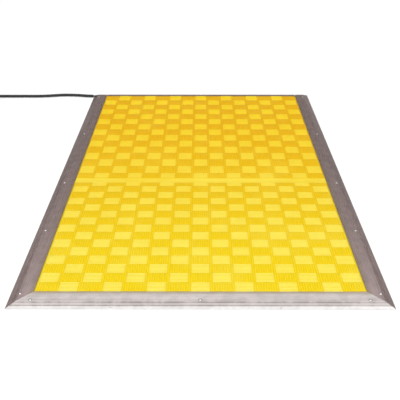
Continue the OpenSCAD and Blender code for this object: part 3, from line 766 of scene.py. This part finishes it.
def cable_path(settings):
    """The cable's line, from its boot along the floor into a coil, and the guard tube's line.

    In the coil the angle runs on evenly. The radius steps in or out by one cable at each turn, and
    each layer climbs to the next a little before the place where it would meet itself. Steps and
    climbs near the middle take a longer way, so that no bend is tight, and over the tie the cable
    rises in a long low hump, less in each layer.
    """
    rest, top = settings.diameter / 2, settings.guard / 2
    lay = np.array(cable_lay)
    level = np.where(np.arange(len(lay)) < guard_from, boot_level, rest)
    route = np.stack([boot_x + lay[:, 0] / 1000, boot_y + lay[:, 1] / 1000,
                      level + lay[:, 2] * (top - level)], axis=-1)

    turn = np.arange(coil_stride, coil_end + 1, coil_stride, dtype=float)
    angle = np.radians(90 + turn)
    radius = settings.coil_radius + settings.diameter * smooth_steps(turn, coil_steps)
    layer = smooth_steps(turn, coil_climbs)
    at_tie = np.exp(-((np.sin(angle) + 1) / tie_width)**2)
    height = rest + layer_pitch * layer + at_tie * (tie_lift - tie_settle * layer)
    middle = route[-1, :2] - [0, settings.coil_radius]
    coil = np.stack([middle[0] + radius * np.cos(angle), middle[1] + radius * np.sin(angle),
                     height], axis=-1)
    guard = through(route[guard_from:guard_to], points_per_span)
    return np.concatenate([through(route, points_per_span), coil]), guard


def screw_form(settings):
    """A domed screw head with a cross recess: a grid of angle and radius, and a short neck.

    The dome is a paraboloid. The recess is cut where either arm of a cross is near, with soft
    sides. The neck goes straight down from under the head.
    """
    sides = 32
    share = np.array([1.0, 0.88, 0.75, 0.62, 0.5, 0.4, 0.3, 0.2, 0.1, 0.02])[:, None]
    arm, reach, recess = 0.0006, 0.0019, 0.0009
    neck_share, neck_level = 0.5, -0.002
    turn = np.arange(sides) * 2 * np.pi / sides
    x = share * np.cos(turn) * settings.head_radius
    y = share * np.sin(turn) * settings.head_radius
    z = settings.head_rise * (1 - (x**2 + y**2) / settings.head_radius**2)
    near = np.minimum(np.abs(x) + 4 * np.maximum(np.abs(y) - reach, 0),
                      np.abs(y) + 4 * np.maximum(np.abs(x) - reach, 0))
    z = z - recess * np.clip(1.4 - near / arm, 0, 1)
    neck = np.stack([neck_share * x[:1], neck_share * y[:1], np.full_like(x[:1], neck_level)],
                    axis=-1)
    points = np.concatenate([neck, np.stack([x, y, z], axis=-1)]).reshape(-1, 3)
    cap = cap_quads(sides)
    walls = grid_quads(len(share) + 1, sides, closed=True)
    return points, np.concatenate([walls, cap[:, ::-1], cap + len(points) - sides])


# Stage

def place_camera(scene, settings):
    """Puts the camera at the photograph's viewing angle."""
    view = bpy.data.cameras.new("view")
    view.lens = settings.lens
    view.sensor_fit = "HORIZONTAL"
    view.clip_end = 2 * settings.floor_reach
    camera = bpy.data.objects.new("view", view)
    camera.location = settings.eye
    camera.rotation_euler = (math.pi / 2 - settings.pitch, 0, settings.yaw)
    scene.collection.objects.link(camera)
    scene.camera = camera


def hang_lamp(scene, settings):
    """Hangs a square lamp in front of the mat. Metal doesn't mirror it."""
    lamp = bpy.data.lights.new("overhead", "AREA")
    lamp.shape = "RECTANGLE"
    lamp.size, lamp.size_y = settings.lamp_size, settings.lamp_size
    lamp.energy = settings.lamp_power
    lit = bpy.data.objects.new("overhead", lamp)
    lit.location = settings.lamp_place
    lit.rotation_euler = (settings.lamp_tilt, 0, 0)
    lit.visible_glossy = False
    scene.collection.objects.link(lit)


def lay_floor(scene, settings):
    """Lays one large square just below the mat."""
    corners = np.array([[-1, -1], [1, -1], [1, 1], [-1, 1]]) * settings.floor_reach
    corners = np.pad(corners, ((0, 0), (0, 1)), constant_values=-settings.floor_drop)
    mesh = bpy.data.meshes.new("stage_floor")
    mesh.from_pydata(corners, [], [(0, 1, 2, 3)])
    mesh.materials.append(floor_material(settings))
    floor = bpy.data.objects.new("stage_floor", mesh)
    scene.collection.objects.link(floor)


def paint_sky(scene):
    """Lights the scene from a sky that is pale at the horizon, dim above it and bright overhead."""
    scene.world = scene.world or bpy.data.worlds.new("sky")
    scene.world.use_nodes = True
    tree = scene.world.node_tree
    way = put(tree, "ShaderNodeTexCoord").outputs["Generated"]
    rise = put(tree, "ShaderNodeSeparateXYZ", {0: way}).outputs["Z"]
    ramp = put(tree, "ShaderNodeValToRGB", {"Fac": rise})
    for place, _ in sky_stops[2:]:
        ramp.color_ramp.elements.new(place)
    for stop, (place, colour) in zip(ramp.color_ramp.elements, sky_stops):
        stop.position = place
        stop.color = shade(colour)
    tree.links.new(ramp.outputs["Color"], tree.nodes["Background"].inputs["Color"])


# Operators

class MAT_OT_stage(bpy.types.Operator):
    """Set up the camera, the lamp, the floor and the sky"""

    bl_idname = "mat.stage"
    bl_label = "Stage"

    def execute(self, context):
        scene, settings = context.scene, context.scene.mat_stage
        place_camera(scene, settings)
        hang_lamp(scene, settings)
        lay_floor(scene, settings)
        paint_sky(scene)
        scene.view_settings.view_transform = "Standard"
        return {"FINISHED"}


class MAT_OT_cable(bpy.types.Operator):
    """Lay the cable from its boot to its coil"""

    bl_idname = "mat.cable"
    bl_label = "Cable"

    def execute(self, context):
        settings = context.scene.mat_cable
        jacket = plain_material("cable_jacket_black", settings.jacket, 0.5, fine=500.0, slow=40.0,
                                sway=0.2)
        path, guard_path = cable_path(settings)
        piece = new_piece("cable_run", *tube_form(path, settings.diameter / 2, sides=12), jacket)
        set_smooth(piece)
        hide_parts("cable", "cable_coil", "cable_tail")
        guard = new_piece("cable_guard_tube", *tube_form(guard_path, settings.guard / 2, sides=16),
                          jacket)
        set_smooth(guard)
        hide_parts("cable_guard")
        dress(jacket, "link_lead")
        dress(plain_material("tie_black_plastic", (0.05, 0.05, 0.055), 0.45),
              "coil_tie", "cable_end_sleeve")
        dress(plain_material("core_white_plastic", (0.72, 0.72, 0.7), 0.4, sway=0.05),
              "cable_end_cores", "lead_cores_inside", "link_cores")
        dress(plain_material("ferrule_tin", (0.66, 0.65, 0.62), 0.3, metallic=1.0),
              "cable_end_ferrules")
        dress(plain_material("boot_black_rubber", (0.025, 0.025, 0.027), 0.6),
              "lead_boot", "rear_link_boot", "front_link_boot")
        return {"FINISHED"}


class MAT_OT_tread(bpy.types.Operator):
    """Mould the two ribbed panels"""

    bl_idname = "mat.tread"
    bl_label = "Ribbed panels"

    def execute(self, context):
        settings = context.scene.mat_tread
        vinyl = vinyl_material(settings)
        # The front panel is the rear one's mirror image in Y, so its seam comes first as well
        for name, node, lip_y, way in (
                ("rear_ribbed_panel", "rear_tread_cover", rear_lip_y, 1),
                ("front_ribbed_panel", "front_tread_cover", front_lip_y, -1)):
            low, high = (np.array(corner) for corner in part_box(node))
            sheet = high[2] - settings.rib_height
            points, quads, flat = sheet_form(
                low[:2], high[:2], low[2], sheet, settings.sheet_edge)
            bands = [map_band(flat, low[:2], high[:2], 0)]
            painted_lights = [np.full(len(points), settings.gap_painted_light)]
            open_low, open_high = np.array([-lip_x, way * seam_y]), np.array([lip_x, way * lip_y])
            for centres, lengths, widths, along_x in panel_ribs(settings, open_low, open_high):
                more, faces, flat = ribs(
                    centres * [1, way], lengths, widths, widths / settings.rib_share,
                    settings.rib_height, sheet, along_x)
                bands.append(map_band(flat, low[:2], high[:2], 1 if along_x else 2))
                quads = np.concatenate([quads, faces + len(points)])
                points = np.concatenate([points, more])
                # Painted light on the cross ribs, painted shade on the long ribs.
                painted_lights.append(np.full(len(more), 1.0 if along_x else 0.0))
            piece = new_piece(name, points, quads, vinyl)
            painted_light = piece.data.attributes.new("painted_light", "FLOAT", "POINT")
            painted_light.data.foreach_set("value", np.concatenate(painted_lights).astype(np.float32))
            layout = piece.data.uv_layers.new(name="OFBake")
            layout.uv.foreach_set("vector", np.concatenate(bands).astype(np.float32).ravel())
            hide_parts(node)
        dress(plain_material("base_black_vinyl", (0.03, 0.03, 0.03), 0.6, fine=600.0),
              "rear_base_cover", "front_base_cover")
        dress(plain_material("plate_bright_steel", (0.55, 0.56, 0.58), 0.3, metallic=1.0),
              "rear_upper_plate", "rear_lower_plate", "front_upper_plate", "front_lower_plate")
        dress(plain_material("strip_foam", (0.75, 0.7, 0.5), 0.8, relief=0.0003),
              "rear_insulating_strips", "front_insulating_strips")
        return {"FINISHED"}


class MAT_OT_trim(bpy.types.Operator):
    """Finish the ramp covers and the rails under them"""

    bl_idname = "mat.trim"
    bl_label = "Ramp trim"

    def execute(self, context):
        dress(trim_material(context.scene.mat_trim),
              "left_ramp_cover", "right_ramp_cover", "front_ramp_cover", "rear_ramp_cover")
        dress(plain_material("rail_mill_aluminium", (0.6, 0.6, 0.61), 0.35, metallic=1.0),
              "left_base_rail", "right_base_rail", "front_base_rail", "rear_base_rail")
        return {"FINISHED"}


class MAT_OT_screws(bpy.types.Operator):
    """Set the domed screws along the trim"""

    bl_idname = "mat.screws"
    bl_label = "Trim screws"

    def execute(self, context):
        form, quads = screw_form(context.scene.mat_trim)
        rear_out = screw_out * rear_width / front_width
        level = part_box("trim_screws")[1].z
        places = [[x, y, level] for x in (-lip_x - screw_out, lip_x + screw_out)
                  for y in side_screws]
        places += [[x, y, level] for y in (front_lip_y - screw_out, rear_lip_y + rear_out)
                   for x in cross_screws]
        points = (form[None] + np.array(places)[:, None]).reshape(-1, 3)
        faces = copy_quads(quads, len(form), len(places))
        # Near-white with little metal: a painted glint on the steel screw heads.
        steel = plain_material("screw_steel_painted_glint", (0.93, 0.92, 0.9), 0.3, metallic=0.2,
                               sway=0.05)
        piece = new_piece("domed_trim_screws", points, faces, steel)
        set_smooth(piece)
        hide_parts("trim_screws")
        return {"FINISHED"}


class MAT_PT_sidebar(bpy.types.Panel):
    """Lists the mat's pieces and settings."""

    bl_idname = "MAT_PT_sidebar"
    bl_label = "Safety mat"
    bl_space_type = "VIEW_3D"
    bl_region_type = "UI"
    bl_category = "Safety mat"

    def draw(self, context):
        for operator in operators:
            self.layout.operator(operator.bl_idname)
        for place, group in settings_groups.items():
            box = self.layout.box()
            for name in group.__annotations__:
                box.prop(getattr(context.scene, place), name)


settings_groups = {"mat_stage": StageSettings, "mat_cable": CableSettings,
                   "mat_tread": TreadSettings, "mat_trim": TrimSettings}
operators = (MAT_OT_stage, MAT_OT_cable, MAT_OT_tread, MAT_OT_trim, MAT_OT_screws)


def register():
    """Registers the classes and hangs each group of settings on the scene."""
    for made in (*settings_groups.values(), *operators, MAT_PT_sidebar):
        bpy.utils.register_class(made)
    for name, group in settings_groups.items():
        setattr(bpy.types.Scene, name, PointerProperty(type=group))


def unregister():
    """Takes the settings off the scene and removes the classes."""
    for name in settings_groups:
        delattr(bpy.types.Scene, name)
    for made in (MAT_PT_sidebar, *reversed(operators), *settings_groups.values()):
        bpy.utils.unregister_class(made)


def main():
    """Registers the add-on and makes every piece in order."""
    register()
    bpy.ops.mat.stage()
    bpy.ops.mat.cable()
    bpy.ops.mat.tread()
    bpy.ops.mat.trim()
    bpy.ops.mat.screws()


if __name__ == "__main__":
    main()
